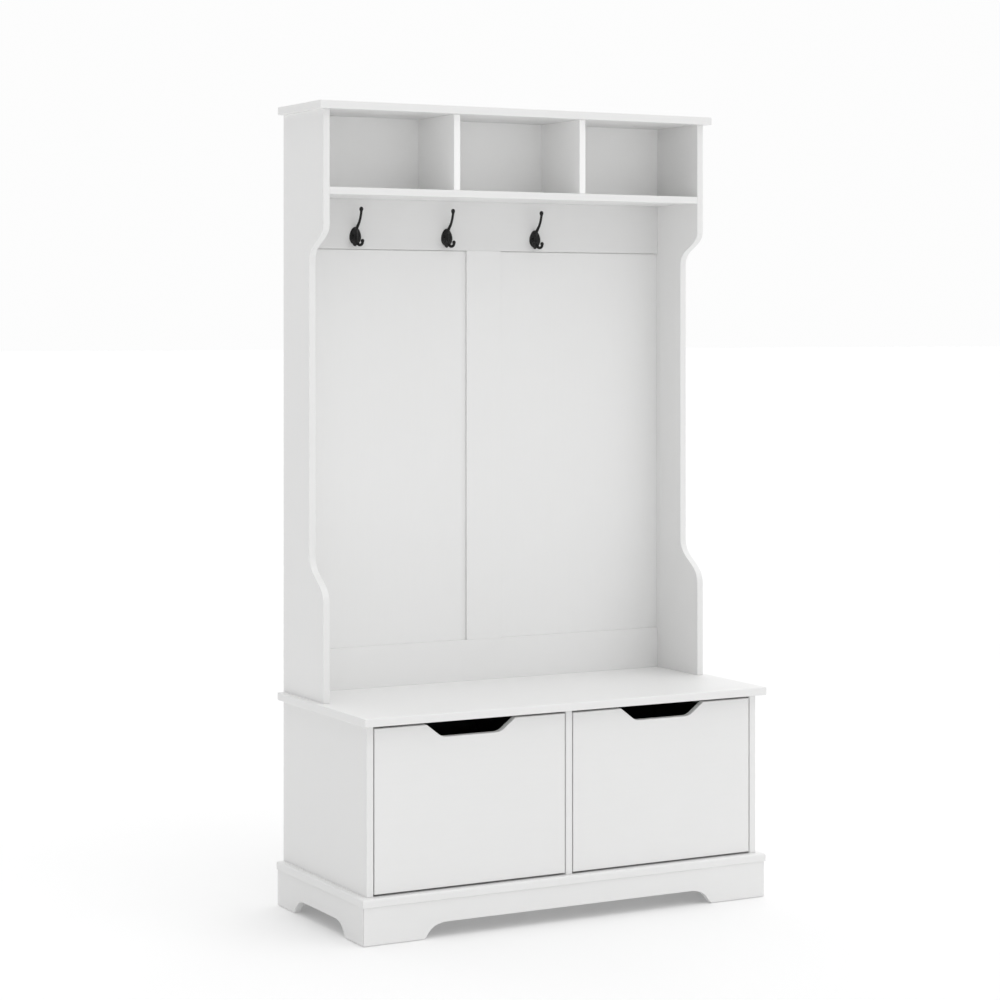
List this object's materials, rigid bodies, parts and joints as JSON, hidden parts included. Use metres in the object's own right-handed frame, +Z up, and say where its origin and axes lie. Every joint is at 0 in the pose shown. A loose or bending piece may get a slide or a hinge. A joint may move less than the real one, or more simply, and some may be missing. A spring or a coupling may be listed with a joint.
{
  "type": "hall tree with hooks",
  "caption": "White painted hall tree: drawer bench on a bracket-foot plinth, framed back with coat hooks, open cubbies under a flat top.",
  "frame": {"origin": "bottom centre of the whole object, on the floor", "axes": "+X to the right seen from the front, front towards -Y, +Z up"},
  "size_m": [1.02, 0.46, 1.8],
  "materials": {
    "paint": "white satin paint on fibreboard",
    "lining": "matt black melamine on particle board",
    "hook_iron": "matt black",
    "slide_steel": "zinc plated",
    "nylon": "white nylon"
  },
  "bodies": {
    "cabinet": {"top_panel": "paint", "upper_side_left": "paint", "upper_side_right": "paint", "cubby_shelf": "paint", "cubby_divider_left": "paint", "cubby_divider_right": "paint", "cubby_back": "paint", "hook_rail": "paint", "centre_stile": "paint", "lower_rail": "paint", "back_panel_left": "paint", "back_panel_right": "paint", "bench_top": "paint", "base_side_left": "paint", "base_side_right": "paint", "base_divider": "paint", "base_back": "paint", "plinth_board": "paint", "skirt_front": "paint", "skirt_left": "paint", "skirt_right": "paint", "skirt_back": "paint", "coat_hook_1": "hook_iron", "hook_1_screw_left": "hook_iron", "hook_1_screw_right": "hook_iron", "coat_hook_2": "hook_iron", "hook_2_screw_left": "hook_iron", "hook_2_screw_right": "hook_iron", "coat_hook_3": "hook_iron", "hook_3_screw_left": "hook_iron", "hook_3_screw_right": "hook_iron", "glide_front_left": "nylon", "glide_front_right": "nylon", "glide_rear_left": "nylon", "glide_rear_right": "nylon", "wall_bracket": "slide_steel", "left_slide_left_cabinet_member": "slide_steel", "left_slide_right_cabinet_member": "slide_steel", "right_slide_left_cabinet_member": "slide_steel", "right_slide_right_cabinet_member": "slide_steel"},
    "left_drawer": {"left_drawer_front": "paint", "left_drawer_side_left": "lining", "left_drawer_side_right": "lining", "left_drawer_bottom": "lining", "left_drawer_back": "lining", "left_slide_left_drawer_member": "slide_steel", "left_slide_right_drawer_member": "slide_steel"},
    "left_slide_middles": {"left_slide_left_middle_member": "slide_steel", "left_slide_right_middle_member": "slide_steel"},
    "right_drawer": {"right_drawer_front": "paint", "right_drawer_side_left": "lining", "right_drawer_side_right": "lining", "right_drawer_bottom": "lining", "right_drawer_back": "lining", "right_slide_left_drawer_member": "slide_steel", "right_slide_right_drawer_member": "slide_steel"},
    "right_slide_middles": {"right_slide_left_middle_member": "slide_steel", "right_slide_right_middle_member": "slide_steel"}
  },
  "joints": [
    {"name": "left_drawer_slide", "type": "slide", "parent": "cabinet", "child": "left_drawer", "axis": [0, -1, 0], "range_m": [0, 0.33]},
    {"name": "left_slide_middles_slide", "type": "slide", "parent": "cabinet", "child": "left_slide_middles", "axis": [0, -1, 0], "range_m": [0, 0.165]},
    {"name": "right_drawer_slide", "type": "slide", "parent": "cabinet", "child": "right_drawer", "axis": [0, -1, 0], "range_m": [0, 0.33]},
    {"name": "right_slide_middles_slide", "type": "slide", "parent": "cabinet", "child": "right_slide_middles", "axis": [0, -1, 0], "range_m": [0, 0.165]}
  ],
  "couplings": [
    {"joint": "left_slide_middles_slide", "follows": "left_drawer_slide", "ratio": 0.5},
    {"joint": "right_slide_middles_slide", "follows": "right_drawer_slide", "ratio": 0.5}
  ]
}
